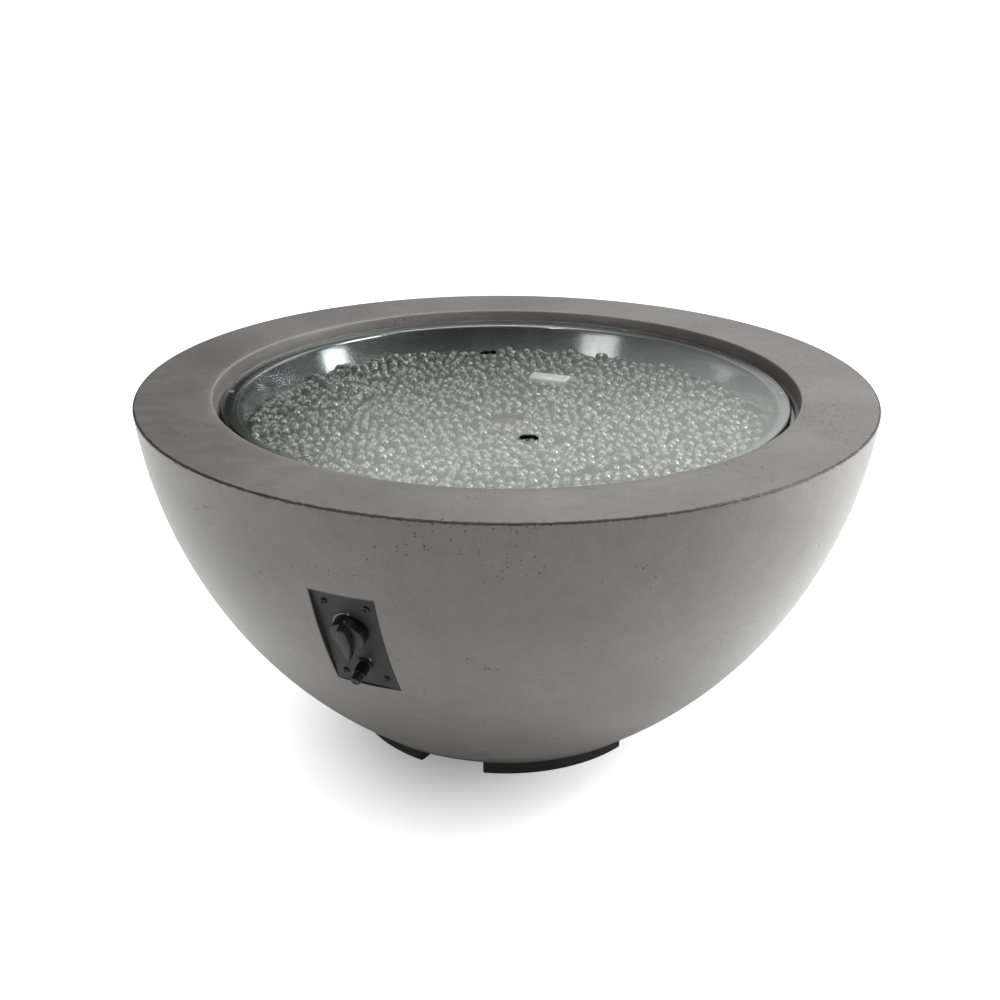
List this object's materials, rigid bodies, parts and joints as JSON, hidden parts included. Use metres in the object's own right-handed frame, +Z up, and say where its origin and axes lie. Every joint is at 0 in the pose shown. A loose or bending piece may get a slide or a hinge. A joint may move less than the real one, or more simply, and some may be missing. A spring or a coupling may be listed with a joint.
{
  "type": "round fire pit table",
  "caption": "Round concrete fire bowl on curved feet with a gas ring burner under fire glass, a lift-off glass cover and a side control panel with knob and igniter.",
  "frame": {"origin": "on the floor, under the middle of the bowl", "axes": "+Z up, -Y towards the front, with the control panel on the front left"},
  "size_m": [1.0664, 1.0664, 0.521],
  "materials": {
    "concrete": "cast grey concrete with small air pits, matt",
    "foot_block": "dark grey moulded block, matt",
    "polished_steel": "polished stainless sheet",
    "steel": "plain stainless steel",
    "hose_steel": "braided or drawn stainless tube",
    "brass": "machined brass",
    "copper": "drawn copper",
    "cover_glass": "clear tempered glass with polished edge",
    "gem_glass": "clear round glass gems",
    "clear_silicone": "clear soft bumper",
    "white_ceramic": "unglazed white ceramic",
    "black_paint": "black powder coat with a white arc mark",
    "black_screw": "black oxide",
    "knob_plastic": "black moulded plastic",
    "igniter_plastic": "black moulded plastic",
    "lead_rubber": "black insulation"
  },
  "bodies": {
    "fire_bowl": {"bowl": "concrete", "foot_front": "foot_block", "foot_right": "foot_block", "foot_back": "foot_block", "foot_left": "foot_block", "foot_bolts": "steel", "foot_inserts": "brass", "burner_pan": "polished_steel", "fire_glass": "gem_glass", "ring_burner": "steel", "burner_nipple": "steel", "nipple_nuts": "steel", "air_mixer": "brass", "feed_elbow": "brass", "pilot_hood": "steel", "pilot_bracket": "steel", "pilot_burner": "brass", "electrode_insulator": "white_ceramic", "spark_electrode": "steel", "thermocouple": "copper", "control_panel": "black_paint", "panel_screws": "black_screw", "panel_inserts": "brass", "gas_valve": "brass", "valve_nut": "steel", "magnet_unit": "steel", "plunger_spring": "steel", "igniter_barrel": "igniter_plastic", "igniter_nut": "igniter_plastic", "button_spring": "steel", "spark_module": "igniter_plastic", "supply_hose": "hose_steel", "inlet_hose": "hose_steel", "pilot_tube": "hose_steel", "thermocouple_lead": "copper", "igniter_lead": "lead_rubber", "inlet_bracket": "steel", "bracket_screws": "steel", "inlet_fitting": "brass", "fitting_nut": "brass"},
    "cover": {"glass_cover": "cover_glass", "cover_bumpers": "clear_silicone"},
    "plunger": {"valve_plunger": "steel"},
    "knob": {"valve_spindle": "steel", "valve_knob": "knob_plastic"},
    "button": {"igniter_button": "igniter_plastic"}
  },
  "joints": [
    {"name": "cover_lift", "type": "slide", "parent": "fire_bowl", "child": "cover", "axis": [0, 0, 1], "range_m": [0, 0.12]},
    {"name": "knob_push", "type": "slide", "parent": "fire_bowl", "child": "plunger", "axis": [0.3623, 0.8535, 0.3746], "range_m": [0, 0.003], "stiffness_N_per_m": 2000, "springref_m": -0.002, "deforming": ["plunger_spring"]},
    {"name": "knob_turn", "type": "hinge", "parent": "plunger", "child": "knob", "pos_m": [-0.18907, -0.44542, 0.3444], "axis": [-0.3623, -0.8535, -0.3746], "range_deg": [0, 90]},
    {"name": "igniter_push", "type": "slide", "parent": "fire_bowl", "child": "button", "axis": [0.3623, 0.8535, 0.3746], "range_m": [0, 0.005], "stiffness_N_per_m": 1200, "springref_m": -0.002, "deforming": ["button_spring"]}
  ]
}
